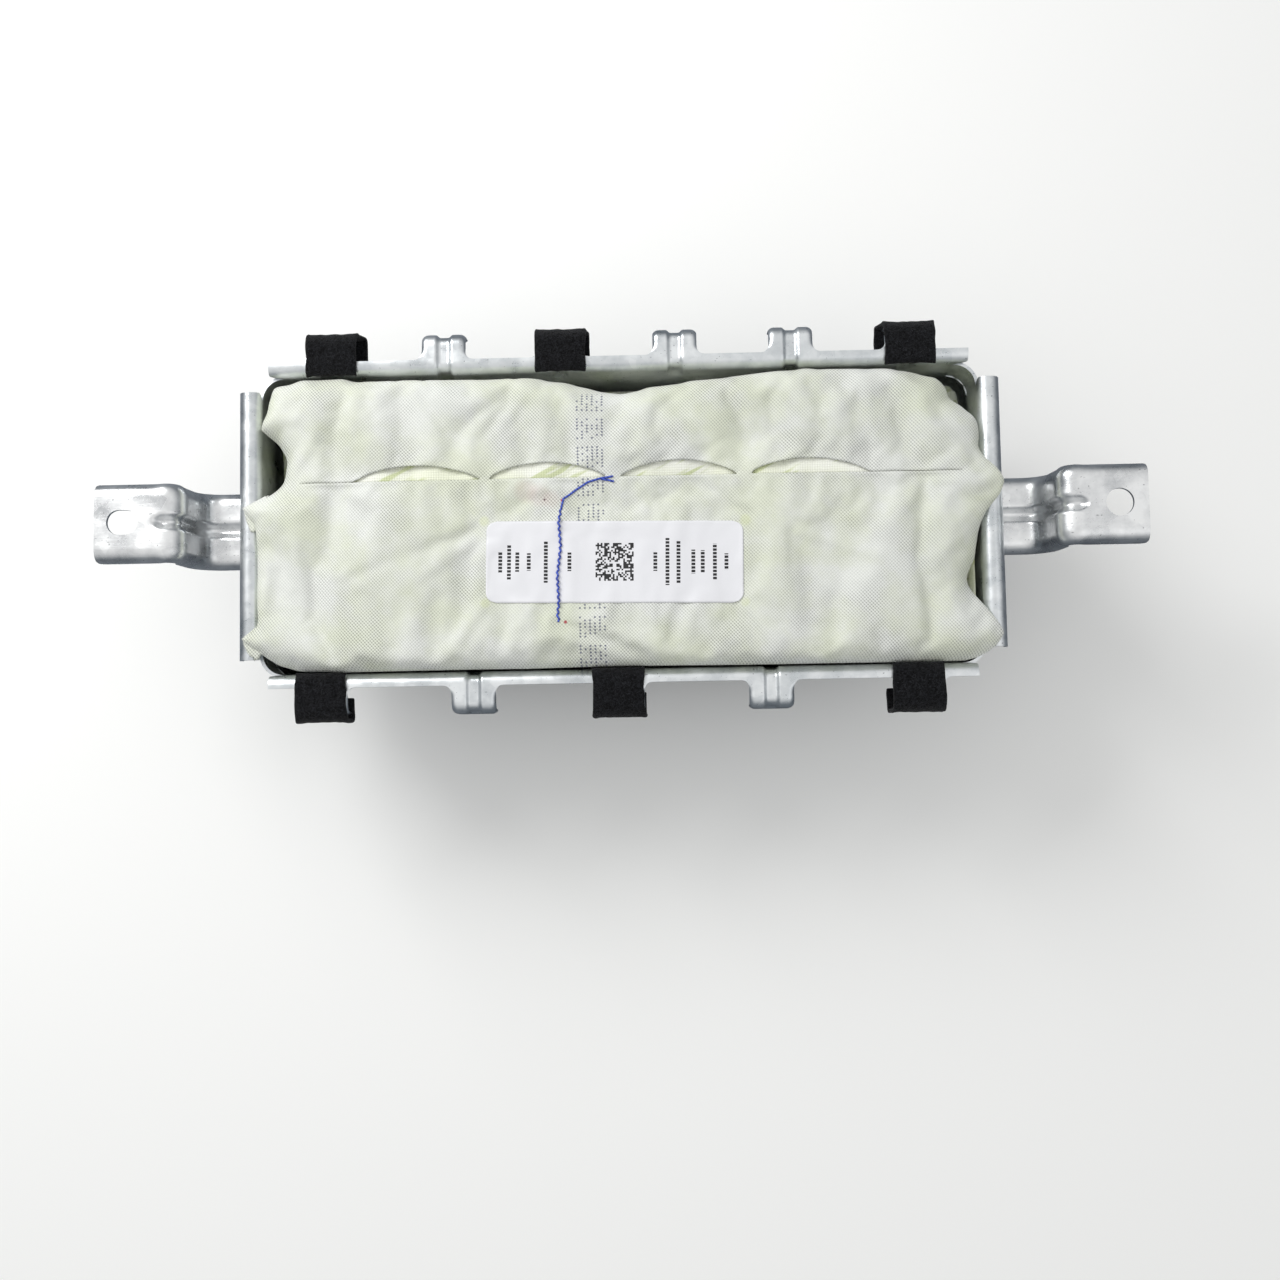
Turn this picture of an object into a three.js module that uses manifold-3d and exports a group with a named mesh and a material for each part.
// Front passenger airbag module: a pressed steel can with a wrapped, folded cushion inside it, a disc
// inflator through its floor and a bracket at each end. Millimetres. +Z points out of the can's mouth,
// +X runs along the can, and +Y is the long side with six hooks. Z = 0 is the inflator's base.
import * as THREE from 'three';
import { mergeVertices } from 'three/addons/utils/BufferGeometryUtils.js';
import Module from 'manifold-3d';

const wasm = await Module();
wasm.setup();

// ---- Clearances ----
const contactGap = 0.1;        // between two faces that are clamped or stuck together
const cutGap = 0.3;            // round a piece that passes through another
const overlap = 0.5;           // how far joined solids run into each other, and cuts past a face

// ---- Can: deep-drawn sheet, all sizes inside the walls ----
const sheet = 1.2;
const can = { length: 266, width: 111, depth: 52, corner: 8, floorRadius: 7 };
const endShelf = { length: 30, depth: 33 };   // the floor is higher at both ends
const floorBead = { width: 8, drop: 2, y: 24, endMargin: 9 };
const rim = { radius: 4.2, sideReach: 5.2, sideRelief: 3, endRelief: 5.5, endDrop: 1.2 };

// ---- Hooks along both long sides ----
const hook = {
  width: 16.4, reach: 15.5, tipRadius: 4.6, tipDrop: 5.4, rootFillet: 3,
  beadWidth: 4.6, beadDepth: 1.1,
};
const farHooks = { count: 6, fromEnd: 25.5, felted: [0, 2, 5] };
const nearHooks = { count: 5, fromEnd: 24, felted: [0, 2, 4] };
const felt = { width: 19, thickness: 1.8, fromWrap: 0.35, underLap: 5 };

// ---- End brackets: reaches are measured out from the face of the end wall ----
const bracket = {
  sheet: 1.6, width: 29, edgeRadius: 5, edgeLip: 0.8, tipReach: 55.8, tipCorner: 3.5,
  plateAbove: 13, slopeReach: 24.3, slopeRadius: 4.5, slopeRun: 2.6,
  shelfBelow: 12, footRadius: 3.5, legLength: 17,
  grooveWidth: 4.8, grooveDepth: 1.5, grooveReach: 34.3, grooveFade: 3,
};
const leftHole = { reach: 45.3, length: 11.6, width: 9 };
const rightHole = { reach: 45.3, length: 10, width: 10 };

// ---- Inflator, its retainer ring and fasteners ----
const inflator = {
  radius: 35, wall: 1.8, below: 27, above: 20, edgeRadius: 4,
  flangePastStud: 13, flangeCorner: 12, flangeSheet: 2,
  ports: 12, portRadius: 2.4, portBelowTop: 8,
};
const chamber = { filterWall: 5, filterGap: 1.2, chargeHeight: 13 };
const socket = {
  fromFilter: 4, wellRadius: 8, wellWall: 1.4, wellHeight: 14, insertWall: 1, insertHeight: 9.4,
};
const igniter = { radius: 4.6, flangeHeight: 1.8, height: 12, pinRadius: 0.5, pinSpacing: 3.4, pinLength: 5 };
const stud = { radius: 3, headRadius: 4.6, headHeight: 1.5, pastNut: 3, pastInflator: 11.6 };
const nut = { acrossFlats: 10, flangeRadius: 7, flangeHeight: 1.4, height: 6.4 };
const ring = { pastStud: 11, corner: 10, sheet: 2, holeMargin: 3 };
const mouth = { pastStud: 14, corner: 8, thickness: 2.4 };

// ---- Cushion, wrap and what is on it ----
const wrap = { wallGap: 0.8, cloth: 1, crown: 6.5, edgeRadius: 6 };
const label = { length: 93.5, width: 30, thickness: 0.3, x: -1.8, y: -15.6 };
const thread = { diameter: 0.9, sides: 6, steps: 20 };

// ---- Levels that follow from the above ----
const floorUnder = inflator.below;
const floorTop = floorUnder + sheet;
const rimTop = floorUnder + can.depth;
const wallTop = rimTop - rim.radius;
const shelfUnder = rimTop - endShelf.depth;
const halfWidth = can.width / 2;
const halfLength = can.length / 2;
const endFace = halfLength + sheet;
const deepHalf = halfLength - endShelf.length;
const inflatorTop = floorUnder + inflator.above;
const studPitch = Math.SQRT2 * (inflator.radius + stud.pastInflator);   // a square of four
const flangeSize = studPitch + 2 * inflator.flangePastStud;
const mouthSize = studPitch + 2 * mouth.pastStud;
const ringSize = studPitch + 2 * ring.pastStud;
const ringHoleRadius = inflator.radius + ring.holeMargin;
const ringUnder = floorTop + mouth.thickness + 2 * contactGap;
const nutTop = floorUnder - inflator.flangeSheet - 2 * contactGap;
const crownTop = rimTop + wrap.crown;

// ---- Facets ----
const bendStep = 30;           // degrees of a sheet bend in one facet
const roundFacets = 28;        // a full turn of a large round piece
const wellFacets = 18;         // a full turn of an igniter well or a nut's flange
const smallFacets = 12;        // a full turn of a stud, hole or pin

const finishes = {
  galvanised: { color: 0xb8bfc2, roughness: 0.35, metalness: 0.9 },
  bracketSteel: { color: 0xc9cccd, roughness: 0.3, metalness: 0.9 },
  inflatorSteel: { color: 0x9ea2a4, roughness: 0.4, metalness: 0.9 },
  zinc: { color: 0xa9a99c, roughness: 0.4, metalness: 0.85 },
  wrapCloth: { color: 0xd6d8cd, roughness: 0.85, metalness: 0 },
  bagCloth: { color: 0xe4e4dc, roughness: 0.85, metalness: 0 },
  felt: { color: 0x17181a, roughness: 0.95, metalness: 0 },
  labelSatin: { color: 0xf0f0ec, roughness: 0.5, metalness: 0 },
  blueThread: { color: 0x2c3f7a, roughness: 0.7, metalness: 0 },
  wireMesh: { color: 0x8a8c8d, roughness: 0.6, metalness: 0.8 },
  charge: { color: 0xb6b2a4, roughness: 0.9, metalness: 0 },
  socketPlastic: { color: 0xc9a13a, roughness: 0.5, metalness: 0 },
};

// ---------------------------------------------------------------------------------------------
// Tools: paths, lofts and solids
// ---------------------------------------------------------------------------------------------

// A closed, merged surface as a solid that can be joined and cut.
function solid(geometry) {
  const bare = geometry.clone();
  bare.deleteAttribute('normal');
  bare.deleteAttribute('uv');
  const merged = mergeVertices(bare, 1e-4);
  return new wasm.Manifold(new wasm.Mesh({
    numProp: 3,
    vertProperties: new Float32Array(merged.attributes.position.array),
    triVerts: new Uint32Array(merged.index.array),
  }));
}

function join(solids) {
  return solids.reduce((whole, next) => whole.add(next));
}

function surface(made) {
  const mesh = made.getMesh();
  const geometry = new THREE.BufferGeometry();
  geometry.setAttribute('position', new THREE.BufferAttribute(new Float32Array(mesh.vertProperties), 3));
  geometry.setIndex(new THREE.BufferAttribute(new Uint32Array(mesh.triVerts), 1));
  geometry.computeVertexNormals();
  return geometry;
}

// A path of straight runs and bends in a plane. Each point carries the unit normal on its left.
// A move is { run } or { turn, radius } with the turn in degrees, positive to the left.
function tracePath(start, heading, moves) {
  let [x, y] = start;
  let angle = THREE.MathUtils.degToRad(heading);
  const points = [];
  const mark = () => points.push({ x, y, nx: -Math.sin(angle), ny: Math.cos(angle) });
  mark();
  for (const { run, turn, radius } of moves) {
    if (run !== undefined) {
      x += run * Math.cos(angle);
      y += run * Math.sin(angle);
      mark();
      continue;
    }
    const side = Math.sign(turn);
    const centreX = x - side * radius * Math.sin(angle);
    const centreY = y + side * radius * Math.cos(angle);
    const steps = Math.ceil(Math.abs(turn) / bendStep - 1e-6);
    for (let i = 0; i < steps; i++) {
      angle += THREE.MathUtils.degToRad(turn) / steps;
      x = centreX + side * radius * Math.sin(angle);
      y = centreY - side * radius * Math.cos(angle);
      mark();
    }
  }
  return points;
}

function offset(point, distance) {
  return new THREE.Vector2(point.x + point.nx * distance, point.y + point.ny * distance);
}

// The outline of a strip between two distances to the left of a path.
function strip(path, from, to) {
  return new THREE.Shape([
    ...path.map((point) => offset(point, from)),
    ...path.map((point) => offset(point, to)).reverse(),
  ]);
}

// Shape x becomes +Y and shape y becomes +Z; the extrusion is centred on X.
function extrudeAlongX(shape, width) {
  return new THREE.ExtrudeGeometry(shape, { depth: width, bevelEnabled: false })
    .translate(0, 0, -width / 2)
    .applyMatrix4(new THREE.Matrix4().makeBasis(
      new THREE.Vector3(0, 1, 0), new THREE.Vector3(0, 0, 1), new THREE.Vector3(1, 0, 0)));
}

// Shape x becomes +X and shape y becomes +Z; the extrusion is centred on Y.
function extrudeAlongY(shape, width) {
  return new THREE.ExtrudeGeometry(shape, { depth: width, bevelEnabled: false })
    .translate(0, 0, -width / 2)
    .applyMatrix4(new THREE.Matrix4().makeBasis(
      new THREE.Vector3(1, 0, 0), new THREE.Vector3(0, 0, 1), new THREE.Vector3(0, -1, 0)));
}

function extrudeUp(shape, bottom, top) {
  return new THREE.ExtrudeGeometry(shape, { depth: top - bottom, bevelEnabled: false })
    .translate(0, 0, bottom);
}

// Half a turn about Z, which keeps faces pointing out.
function halfTurn(geometry) {
  return geometry.clone().scale(-1, -1, 1);
}

function cylinder(radius, bottom, top, facets, x = 0, y = 0) {
  return new THREE.CylinderGeometry(radius, radius, top - bottom, facets)
    .rotateX(Math.PI / 2)
    .translate(x, y, (bottom + top) / 2);
}

// Points are [radius, z], anticlockwise with the axis on the left.
function turned(points, facets) {
  return new THREE.LatheGeometry(points.map(([r, z]) => new THREE.Vector2(r, z)), facets)
    .rotateX(Math.PI / 2);
}

// Skins matching closed rings, one after another, and closes both ends with the cap's triangles.
function loft(rings, cap) {
  const count = rings[0].length;
  const index = [];
  for (let r = 0; r + 1 < rings.length; r++) {
    for (let i = 0; i < count; i++) {
      const a = r * count + i;
      const b = r * count + (i + 1) % count;
      index.push(a, b, b + count, a, b + count, a + count);
    }
  }
  const last = (rings.length - 1) * count;
  for (const [a, b, c] of cap) {
    index.push(a, c, b, last + a, last + b, last + c);
  }
  const geometry = new THREE.BufferGeometry().setFromPoints(rings.flat());
  geometry.setIndex(signedVolume(rings.flat(), index) < 0 ? index.reverse() : index);
  return geometry;
}

function signedVolume(points, index) {
  let volume = 0;
  for (let i = 0; i < index.length; i += 3) {
    const [a, b, c] = [points[index[i]], points[index[i + 1]], points[index[i + 2]]];
    volume += a.dot(new THREE.Vector3().crossVectors(b, c)) / 6;
  }
  return volume;
}

// Cap of a convex ring.
function fanCap(count) {
  return Array.from({ length: count - 2 }, (_, i) => [0, i + 1, i + 2]);
}

// Cap of a sheet's ring: its first half runs across the top and its second half back underneath.
function sheetCap(count) {
  return Array.from({ length: count / 2 - 1 }, (_, i) => [
    [i, i + 1, count - 2 - i], [i, count - 2 - i, count - 1 - i],
  ]).flat();
}

// A rounded rectangle, anticlockwise.
function roundedRectangle(length, width, corner, steps) {
  const centres = [[1, 1], [-1, 1], [-1, -1], [1, -1]];
  return centres.flatMap(([sx, sy], quarter) => Array.from({ length: steps + 1 }, (_, i) => {
    const angle = (quarter + i / steps) * Math.PI / 2;
    return new THREE.Vector2(
      sx * (length / 2 - corner) + corner * Math.cos(angle),
      sy * (width / 2 - corner) + corner * Math.sin(angle));
  }));
}

// A block with rounded upright corners, and rounded edges round its bottom and top where asked for.
function roundedBlock({ length, width, corner, bottom, top, bottomRadius = 0, topRadius = 0, steps = 3 }) {
  const levels = [];
  const edge = (radius, z, direction) => {
    const arc = radius > 0 ? 3 : 0;
    return Array.from({ length: arc + 1 }, (_, i) => {
      const angle = arc ? (i / arc) * Math.PI / 2 : Math.PI / 2;
      return { inset: radius * (1 - Math.sin(angle)), z: z + direction * radius * (1 - Math.cos(angle)) };
    });
  };
  levels.push(...edge(bottomRadius, bottom, 1), ...edge(topRadius, top, -1).reverse());
  const rings = levels.map(({ inset, z }) => {
    const turn = Math.max(corner - inset, 0.5);
    return roundedRectangle(length - 2 * inset, width - 2 * inset, turn, steps)
      .map((point) => new THREE.Vector3(point.x, point.y, z));
  });
  return loft(rings, fanCap(rings[0].length));
}

function circlePoints(radius, x, y, count) {
  return Array.from({ length: count }, (_, i) => {
    const angle = (i / count) * 2 * Math.PI;
    return new THREE.Vector2(x + radius * Math.cos(angle), y + radius * Math.sin(angle));
  });
}

// Places along the can of a row whose end ones stand a distance in from its ends.
function placesAlong({ count, fromEnd }) {
  const pitch = (can.length - 2 * fromEnd) / (count - 1);
  return Array.from({ length: count }, (_, i) => (i - (count - 1) / 2) * pitch);
}

const squareOfFour = [[1, 1], [-1, 1], [-1, -1], [1, -1]]
  .map(([sx, sy]) => [sx * studPitch / 2, sy * studPitch / 2]);

const part = new THREE.Group();

function addPiece(parent, name, shape, finish) {
  const geometry = shape.isBufferGeometry ? shape : surface(shape);
  const mesh = new THREE.Mesh(geometry, new THREE.MeshStandardMaterial(finish));
  mesh.name = name;
  parent.add(mesh);
  return mesh;
}

// ---------------------------------------------------------------------------------------------
// Can
// ---------------------------------------------------------------------------------------------

// The space of the can, grown by a distance: a shallow tub the full length and a deeper one inside it.
function canSpace(grow, top) {
  const outline = {
    width: can.width + 2 * grow, corner: can.corner + grow, top, bottomRadius: can.floorRadius + grow,
  };
  const shallow = roundedBlock({
    ...outline, length: can.length + 2 * grow, bottom: shelfUnder + sheet - grow,
  });
  const deep = roundedBlock({
    ...outline, length: 2 * (deepHalf + grow), bottom: floorTop - grow,
  });
  return join([solid(shallow), solid(deep)]);
}

// Points of the path that a long side's sheet follows out of the wall, over the rim and down the hook.
// Path x is measured outwards from the wall's inner face and path y upwards from the rim's top.
const beyondRim = hook.reach - hook.tipRadius - rim.sideReach;
const filletSteps = [0.15, 0.45, 1].map((share) => share * hook.rootFillet);

function hookPath() {
  const runs = filletSteps.map((distance, i) => ({ run: distance - (filletSteps[i - 1] ?? 0) }));
  return tracePath([0, -rim.radius - overlap], 90, [
    { run: overlap },
    { turn: -90, radius: rim.radius },
    { run: rim.sideReach - rim.radius },
    ...runs,
    { run: beyondRim - hook.rootFillet },
    { turn: -90, radius: hook.tipRadius },
    { run: hook.tipDrop },
  ]);
}

function hookGeometry() {
  const rings = hookPath().map((point) => {
    const pastRim = THREE.MathUtils.clamp(point.x - rim.sideReach, 0, hook.rootFillet);
    const short = hook.rootFillet - pastRim;
    const flare = point.x < rim.sideReach - 1e-6 || point.y < -1e-6 ? 0
      : hook.rootFillet - Math.sqrt(hook.rootFillet ** 2 - short ** 2);
    const inBead = point.x > rim.radius / 4 && point.x < hook.reach - hook.tipRadius / 2;
    const dip = inBead ? hook.beadDepth : 0;
    const side = hook.width / 2 + flare;
    const bead = hook.beadWidth / 2;
    const columns = [[-side, 0], [-bead, 0], [-bead / 2, dip], [bead / 2, dip], [bead, 0], [side, 0]];
    const row = (below) => columns.map(([x, down]) => {
      const { x: out, y: up } = offset(point, -down - below);
      return new THREE.Vector3(x, halfWidth + out, rimTop + up);
    });
    return [...row(0), ...row(sheet).reverse()];
  });
  return loft(rings, sheetCap(rings[0].length));
}

// The long rim between hooks, ending just inside each hook's width.
function sideRimPieces(hooks) {
  const section = strip(tracePath([halfWidth, wallTop - overlap], 90, [
    { run: overlap }, { turn: -90, radius: rim.radius }, { run: rim.sideReach - rim.radius },
  ]), 0, -sheet);
  const edge = hook.width / 2 - overlap;
  const end = halfLength - rim.sideRelief;
  const stops = [-end, ...placesAlong(hooks).flatMap((x) => [x - edge, x + edge]), end];
  return Array.from({ length: stops.length / 2 }, (_, i) => {
    const [from, to] = [stops[2 * i], stops[2 * i + 1]];
    return extrudeAlongX(section, to - from).translate((from + to) / 2, 0, 0);
  });
}

function longSide(hooks) {
  const hooksHere = placesAlong(hooks).map((x) => hookGeometry().translate(x, 0, 0));
  return [...sideRimPieces(hooks), ...hooksHere];
}

function endRim() {
  const section = strip(tracePath([halfLength, wallTop - overlap], 90, [
    { run: overlap }, { turn: -180, radius: rim.radius }, { run: rim.endDrop },
  ]), 0, -sheet);
  return extrudeAlongY(section, can.width - 2 * rim.endRelief);
}

// Four beads pressed into the deep floor, between the inflator's flange and the floor's end radius.
function floorBeads(grow, bottom, top) {
  const from = flangeSize / 2 + floorBead.endMargin;
  const to = deepHalf - can.floorRadius - floorBead.endMargin;
  return [[1, 1], [-1, 1], [-1, -1], [1, -1]].map(([sx, sy]) => solid(roundedBlock({
    length: to - from + 2 * grow, width: floorBead.width + 2 * grow,
    corner: floorBead.width / 2 + grow - 0.1, bottom, top, steps: 2,
  }).translate(sx * (from + to) / 2, sy * floorBead.y, 0)));
}

function canBody() {
  const outside = join([
    canSpace(sheet, wallTop),
    ...floorBeads(sheet, floorUnder - floorBead.drop, floorTop),
  ]);
  const inside = join([
    canSpace(0, wallTop + overlap),
    ...floorBeads(0, floorTop - floorBead.drop, floorTop + overlap),
  ]);
  const rims = [
    ...longSide(farHooks), ...longSide(nearHooks).map(halfTurn), endRim(), halfTurn(endRim()),
  ].map(solid);
  const holes = join([
    solid(cylinder(inflator.radius + 1, floorUnder - overlap, floorTop + overlap, roundFacets)),
    ...squareOfFour.map(([x, y]) => solid(
      cylinder(stud.radius + cutGap, floorUnder - overlap, floorTop + overlap, smallFacets, x, y))),
  ]);
  return join([outside.subtract(inside), ...rims]).subtract(holes);
}

addPiece(part, 'housing', canBody(), finishes.galvanised);

// ---------------------------------------------------------------------------------------------
// Felt pads, stuck over some of the hooks and folded under their tips
// ---------------------------------------------------------------------------------------------

// A pad starts where it stands clear of the wrap inside the can. There the rim heads up by this angle.
const padStart = THREE.MathUtils.radToDeg(Math.asin(
  (rim.radius + wrap.wallGap - felt.fromWrap) / (rim.radius + contactGap + felt.thickness)));

function feltPad() {
  const start = tracePath([-contactGap, -rim.radius], 90, [
    { turn: padStart - 90, radius: rim.radius + contactGap },
  ]).at(-1);
  const under = hook.beadDepth + contactGap;
  const path = tracePath([start.x, start.y], padStart, [
    { turn: -padStart, radius: rim.radius + contactGap },
    { run: hook.reach - hook.tipRadius - rim.radius },
    { turn: -90, radius: hook.tipRadius + contactGap },
    { run: hook.tipDrop },
    { turn: -90, radius: contactGap },
    { run: sheet + under - contactGap },
    { turn: -90, radius: contactGap },
    { run: hook.tipDrop },
    { turn: 90, radius: hook.tipRadius - sheet - under },
    { run: felt.underLap },
  ]);
  return extrudeAlongX(strip(path, 0, felt.thickness), felt.width);
}

for (const [side, hooks, angle] of [['far', farHooks, 0], ['near', nearHooks, Math.PI]]) {
  const row = new THREE.Group();
  row.rotation.z = angle;
  part.add(row);
  const places = placesAlong(hooks);
  hooks.felted.forEach((place, i) => {
    const pad = addPiece(row, `felt_pad_${side}_${i + 1}`, feltPad(), finishes.felt);
    pad.position.set(Math.cos(angle) * places[place], halfWidth, rimTop);
  });
}

// ---------------------------------------------------------------------------------------------
// End brackets: pressed sheet with rolled edges and a groove, welded to the end walls by a leg
// ---------------------------------------------------------------------------------------------

// Seen from +Y with x outwards from the can's centre: up the leg, out along the lower shelf, up the
// slope and out along the plate. The sheet lies on the path's right.
function bracketPath() {
  const lean = THREE.MathUtils.radToDeg(Math.atan2(
    bracket.plateAbove + bracket.shelfBelow, bracket.slopeRun));
  const bendTangent = Math.tan(THREE.MathUtils.degToRad(lean / 2));
  const inner = bracket.slopeRadius - bracket.sheet;
  const slope = Math.hypot(bracket.plateAbove + bracket.shelfBelow, bracket.slopeRun);
  const legX = endFace + contactGap;
  const shelfStart = legX + bracket.footRadius;
  const slopeX = endFace + bracket.slopeReach;
  const shelfEnd = slopeX - bracket.slopeRun - inner * bendTangent;
  const plateStart = slopeX + bracket.slopeRadius * bendTangent;
  const shelfTop = rimTop - bracket.shelfBelow;
  return tracePath([legX, shelfTop - bracket.footRadius - bracket.legLength], 90, [
    { run: bracket.legLength },
    { turn: -90, radius: bracket.footRadius },
    { run: shelfEnd - shelfStart },
    { turn: lean, radius: inner },
    { run: slope - (inner + bracket.slopeRadius) * bendTangent },
    { turn: -lean, radius: bracket.slopeRadius },
    { run: endFace + bracket.grooveReach - bracket.grooveFade - plateStart },
    { run: bracket.grooveFade },
    { run: bracket.tipReach - bracket.grooveReach },
  ]).map((point) => ({ ...point, onLeg: point.x < shelfStart + 0.01 }));
}

// Heights of the section's top across half the width: groove, flat and rolled edge. fold is 0 where
// the edge lies flat and 1 where it is turned down a quarter turn.
function bracketSection(fold, groove) {
  const bend = Math.max(fold, 0.001);
  const flat = bracket.width / 2 - bracket.edgeRadius;
  const arc = [0, 1, 2, 3].map((i) => {
    const angle = bend * i * Math.PI / 6;
    const radius = bracket.edgeRadius / bend;
    return {
      x: flat + radius * Math.sin(angle), y: -radius * (1 - Math.cos(angle)),
      nx: Math.sin(angle), ny: Math.cos(angle),
    };
  });
  const end = arc.at(-1);
  const lip = { ...end, x: end.x + bracket.edgeLip * end.ny, y: end.y - bracket.edgeLip * end.nx };
  const half = bracket.grooveWidth / 2;
  const up = { nx: 0, ny: 1 };
  const side = [{ x: half / 2, y: -0.8 * groove, ...up }, { x: half, y: 0, ...up }, ...arc, lip];
  return [
    ...side.map((point) => ({ ...point, x: -point.x, nx: -point.nx })).reverse(),
    { x: 0, y: -groove, ...up },
    ...side,
  ];
}

function bracketSolid(hole) {
  const grooveEnd = endFace + bracket.grooveReach;
  const rings = bracketPath().map((point) => {
    const fold = point.onLeg ? 0 : 1;
    const groove = point.onLeg || point.x > grooveEnd - 0.01 ? 0 : bracket.grooveDepth;
    const section = bracketSection(fold, groove);
    const row = (below) => section.map((across) => {
      const { x: y, y: height } = offset(across, -below);
      const { x, y: z } = offset(point, height);
      return new THREE.Vector3(x, -y, z);
    });
    return [...row(0), ...row(bracket.sheet).reverse()];
  });
  const pressed = solid(loft(rings, sheetCap(rings[0].length)));
  const plateTop = rimTop + bracket.plateAbove;
  const cutBottom = plateTop - bracket.edgeRadius - bracket.edgeLip - overlap;
  const through = (outline, below = 0) => solid(
    extrudeUp(new THREE.Shape(outline), cutBottom - below, plateTop + overlap));
  // What lies outside a rounded tip is the plain tip's rectangle, made wider, less the rounded one.
  const tip = 2 * (endFace + bracket.tipReach);
  const wider = through(roundedRectangle(tip, 2 * bracket.width, bracket.tipCorner, 3));
  const rounded = through(roundedRectangle(tip, bracket.width, bracket.tipCorner, 3), overlap);
  const holeCorner = Math.min(hole.length, hole.width) / 2 - 0.01;
  const slot = through(roundedRectangle(hole.length, hole.width, holeCorner, 4)
    .map((point) => point.add(new THREE.Vector2(endFace + hole.reach, 0))));
  return pressed.subtract(wider.subtract(rounded)).subtract(slot);
}

addPiece(part, 'bracket_right', bracketSolid(rightHole), finishes.bracketSteel);
const leftEnd = new THREE.Group();
leftEnd.rotation.z = Math.PI;
part.add(leftEnd);
addPiece(leftEnd, 'bracket_left', bracketSolid(leftHole), finishes.bracketSteel);

// ---------------------------------------------------------------------------------------------
// Inflator
// ---------------------------------------------------------------------------------------------

const inflatorGroup = new THREE.Group();
part.add(inflatorGroup);
const flangeTop = floorUnder - contactGap;
const flangeUnder = flangeTop - inflator.flangeSheet;
const boreRadius = inflator.radius - inflator.wall;
const filterOuter = boreRadius - chamber.filterGap;
const filterInner = filterOuter - chamber.filterWall;
const filterBottom = inflator.edgeRadius;
const filterTop = inflatorTop - inflator.edgeRadius;
const socketX = filterInner - socket.wellRadius - socket.fromFilter;

// A quarter arc of [radius, z] points, from one angle to another in degrees.
function arcPoints(centreR, centreZ, radius, from, to) {
  return [0, 1, 2].map((i) => {
    const angle = THREE.MathUtils.degToRad(from + (to - from) * i / 2);
    return [centreR + radius * Math.cos(angle), centreZ + radius * Math.sin(angle)];
  });
}

function lowerShell() {
  const { radius, wall, edgeRadius } = inflator;
  const cup = turned([
    [0, 0],
    ...arcPoints(radius - edgeRadius, edgeRadius, edgeRadius, -90, 0),
    [radius, flangeTop],
    [boreRadius, flangeTop],
    ...arcPoints(radius - edgeRadius, edgeRadius, edgeRadius - wall, 0, -90),
    [0, wall],
  ], roundFacets);
  const flange = extrudeUp(
    new THREE.Shape(roundedRectangle(flangeSize, flangeSize, inflator.flangeCorner, 4)),
    flangeUnder, flangeTop);
  const bore = cylinder(boreRadius, flangeUnder - overlap, flangeTop + overlap, roundFacets);
  const studHoles = squareOfFour.map(([x, y]) => solid(
    cylinder(stud.radius + cutGap, flangeUnder - overlap, flangeTop + overlap, smallFacets, x, y)));
  const wells = [-socketX, socketX].map((x) => solid(
    cylinder(socket.wellRadius, wall / 2, socket.wellHeight, wellFacets, x)));
  const wellHoles = [-socketX, socketX].flatMap((x) => [
    solid(cylinder(socket.wellRadius - socket.wellWall, -overlap, socket.wellHeight - socket.wellWall,
      wellFacets, x)),
    solid(cylinder(igniter.radius + cutGap, 0, socket.wellHeight + overlap, smallFacets, x)),
  ]);
  const plate = solid(flange).subtract(join([solid(bore), ...studHoles]));
  return join([solid(cup), plate, ...wells]).subtract(join(wellHoles));
}

function upperShell() {
  const { radius, wall, edgeRadius, ports, portRadius, portBelowTop } = inflator;
  const bottom = flangeTop + contactGap;
  const cup = turned([
    [boreRadius, bottom],
    [radius, bottom],
    ...arcPoints(radius - edgeRadius, inflatorTop - edgeRadius, edgeRadius, 0, 90),
    [0, inflatorTop],
    [0, inflatorTop - wall],
    ...arcPoints(radius - edgeRadius, inflatorTop - edgeRadius, edgeRadius - wall, 90, 0),
    [boreRadius, bottom],
  ], roundFacets);
  const holes = Array.from({ length: ports }, (_, i) => solid(
    new THREE.CylinderGeometry(portRadius, portRadius, 4 * wall, 8)
      .translate(0, radius - wall / 2, 0)
      .rotateZ(((i + 0.5) / ports) * 2 * Math.PI)
      .translate(0, 0, inflatorTop - portBelowTop)));
  return solid(cup).subtract(join(holes));
}

function roundRing(inner, outer, bottom, top, facets) {
  return turned([[inner, bottom], [outer, bottom], [outer, top], [inner, top], [inner, bottom]], facets);
}

addPiece(inflatorGroup, 'inflator_lower_shell', lowerShell(), finishes.inflatorSteel);
addPiece(inflatorGroup, 'inflator_upper_shell', upperShell(), finishes.inflatorSteel);
addPiece(inflatorGroup, 'inflator_filter',
  roundRing(filterInner, filterOuter, filterBottom, filterTop, roundFacets), finishes.wireMesh);
addPiece(inflatorGroup, 'gas_generant',
  cylinder(filterInner - cutGap, floorUnder, floorUnder + chamber.chargeHeight, roundFacets),
  finishes.charge);

// An igniter stands through the well's top with its flange clamped under it, and its two pins point
// down into the plastic insert that takes the connector.
function igniterSolid() {
  const wellTop = socket.wellHeight - socket.wellWall;
  const flangeRadius = socket.wellRadius - socket.wellWall - cutGap;
  const flangeHigh = wellTop - contactGap;
  const flangeLow = flangeHigh - igniter.flangeHeight;
  const body = turned([
    [0, flangeLow], [flangeRadius, flangeLow], [flangeRadius, flangeHigh],
    [igniter.radius, flangeHigh], [igniter.radius, flangeLow + igniter.height - 1],
    [igniter.radius - 1, flangeLow + igniter.height], [0, flangeLow + igniter.height],
  ], smallFacets);
  const pins = [-1, 1].map((side) => solid(cylinder(
    igniter.pinRadius, flangeLow - igniter.pinLength, flangeLow + overlap, 8,
    0, side * igniter.pinSpacing / 2)));
  return join([solid(body), ...pins]);
}

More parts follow.
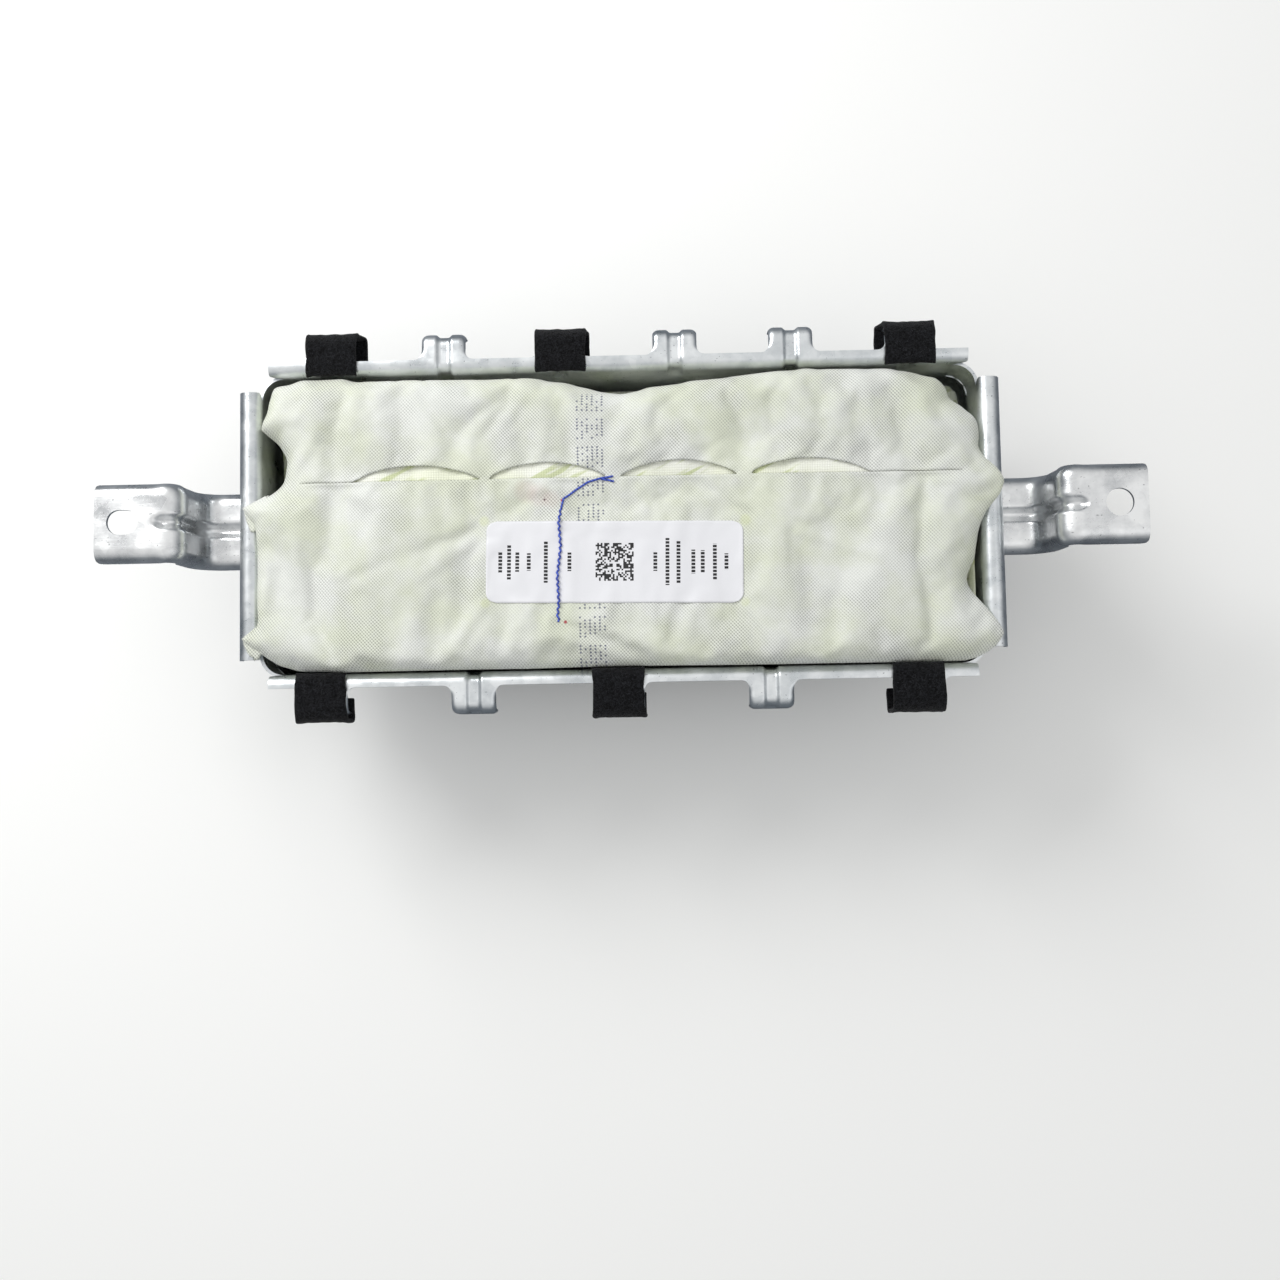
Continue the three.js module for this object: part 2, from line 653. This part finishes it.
// The insert is a plastic ring with one flat-bottomed key slot for the connector.
function socketInsert() {
  const outer = socket.wellRadius - socket.wellWall - contactGap;
  const inner = outer - socket.insertWall;
  const ringBody = solid(roundRing(inner, outer, contactGap, socket.insertHeight, wellFacets));
  const key = solid(new THREE.BoxGeometry(2.4, 4 * socket.insertWall, 4).translate(0, outer, 1));
  return ringBody.subtract(key);
}

[-socketX, socketX].forEach((x, i) => {
  const place = new THREE.Group();
  place.position.x = x;
  inflatorGroup.add(place);
  addPiece(place, `igniter_${i + 1}`, igniterSolid(), finishes.zinc);
  addPiece(place, `connector_insert_${i + 1}`, socketInsert(), finishes.socketPlastic);
});

// ---------------------------------------------------------------------------------------------
// Retainer ring inside the cushion's mouth, with its studs and nuts
// ---------------------------------------------------------------------------------------------

// A square plate with rounded corners, a round hole in its middle and a hole for each stud.
function squarePlate(size, corner, bottom, thickness) {
  const shape = new THREE.Shape(roundedRectangle(size, size, corner, 4));
  shape.holes = [
    new THREE.Path(circlePoints(ringHoleRadius, 0, 0, roundFacets)),
    ...squareOfFour.map(([x, y]) => new THREE.Path(circlePoints(stud.radius + cutGap, x, y, smallFacets))),
  ];
  return extrudeUp(shape, bottom, bottom + thickness);
}

function studBody() {
  const headUnder = ringUnder + ring.sheet + contactGap;
  const tip = nutTop - nut.height - stud.pastNut;
  return turned([
    [0, tip], [stud.radius - 0.8, tip], [stud.radius, tip + 0.8], [stud.radius, headUnder],
    [stud.headRadius, headUnder], [stud.headRadius, headUnder + stud.headHeight],
    [0, headUnder + stud.headHeight],
  ], smallFacets);
}

function nutBody() {
  const hole = solid(cylinder(stud.radius + contactGap, nutTop - nut.height - overlap, nutTop + overlap,
    smallFacets));
  const hexRadius = nut.acrossFlats / Math.sqrt(3);
  const hex = solid(cylinder(hexRadius, nutTop - nut.height, nutTop - overlap, 6));
  const flange = solid(turned([
    [0, nutTop - nut.flangeHeight - 0.8], [nut.flangeRadius - 1.4, nutTop - nut.flangeHeight - 0.8],
    [nut.flangeRadius, nutTop - nut.flangeHeight], [nut.flangeRadius, nutTop], [0, nutTop],
  ], wellFacets));
  return join([hex, flange]).subtract(hole);
}

addPiece(part, 'retainer_ring',
  squarePlate(ringSize, ring.corner, ringUnder, ring.sheet), finishes.inflatorSteel);
squareOfFour.forEach(([x, y], i) => {
  const place = new THREE.Group();
  place.position.set(x, y, 0);
  part.add(place);
  addPiece(place, `retainer_stud_${i + 1}`, studBody(), finishes.zinc);
  addPiece(place, `flange_nut_${i + 1}`, nutBody(), finishes.zinc);
});

// ---------------------------------------------------------------------------------------------
// Cushion, its reinforced mouth and the wrap that holds it folded
// ---------------------------------------------------------------------------------------------

// A block that fills the can with a gap all round: full length above the end shelves, and down
// between them to the floor.
function packedBlock(gap, bottomGap, top, edgeRadius) {
  const outline = {
    width: can.width - 2 * gap, corner: Math.max(can.corner - gap, 2), top, topRadius: edgeRadius,
    bottomRadius: Math.max(can.floorRadius - gap, 1),
  };
  const above = roundedBlock({
    ...outline, length: can.length - 2 * gap, bottom: shelfUnder + sheet + bottomGap,
  });
  const below = roundedBlock({
    ...outline, length: 2 * (deepHalf - gap), bottom: floorTop + bottomGap,
  });
  return join([solid(above), solid(below)]);
}

// Room over the floor for the mouth, the ring, the stud heads and the inflator.
function inflatorRoom() {
  const headTop = ringUnder + ring.sheet + stud.headHeight + 2 * contactGap;
  const size = mouthSize + 2 * cutGap;
  return join([
    solid(roundedBlock({
      length: size, width: size, corner: mouth.corner, bottom: floorUnder, top: headTop + cutGap,
    })),
    solid(cylinder(ringHoleRadius, floorUnder, inflatorTop + cutGap, roundFacets)),
  ]);
}

const wrapInner = wrap.wallGap + wrap.cloth;
const wrapOutside = packedBlock(wrap.wallGap, wrap.wallGap, crownTop, wrap.edgeRadius);
const wrapInside = packedBlock(wrapInner, wrapInner, crownTop - wrap.cloth, wrap.edgeRadius - wrap.cloth);
const bagShape = packedBlock(wrapInner + cutGap, wrapInner + cutGap, crownTop - wrap.cloth - cutGap,
  wrap.edgeRadius - wrap.cloth);

addPiece(part, 'bag_mouth_reinforcement',
  squarePlate(mouthSize, mouth.corner, floorTop + contactGap, mouth.thickness), finishes.bagCloth);
addPiece(part, 'folded_bag', bagShape.subtract(inflatorRoom()), finishes.bagCloth);
addPiece(part, 'bag_wrap', wrapOutside.subtract(wrapInside).subtract(inflatorRoom()), finishes.wrapCloth);

const labelTop = crownTop + contactGap + label.thickness;
const labelPiece = addPiece(part, 'label',
  new THREE.BoxGeometry(label.length, label.width, label.thickness), finishes.labelSatin);
labelPiece.position.set(label.x, label.y, labelTop - label.thickness / 2);

// A line of stitching: from its tail by the tear seam, across the cloth and down over the label.
const threadRoute = [
  [-1.6, 15.4], [-6.5, 12.6], [-13, 9.6], [-19, 7.6], [-20.6, 3.5], [-20, -3], [-21, -10], [-20.8, -18],
  [-22, -26], [-22.4, -33], [-23, -37.5],
];

function stitchedThread() {
  const height = labelTop + contactGap + thread.diameter / 2;
  const route = new THREE.CatmullRomCurve3(threadRoute.map(([x, y]) => new THREE.Vector3(x, y, height)));
  const section = new THREE.Shape(circlePoints(thread.diameter / 2, 0, 0, thread.sides));
  return new THREE.ExtrudeGeometry(section, {
    extrudePath: route, steps: thread.steps, bevelEnabled: false,
  });
}

addPiece(part, 'stitch_thread', stitchedThread(), finishes.blueThread);

export default part;
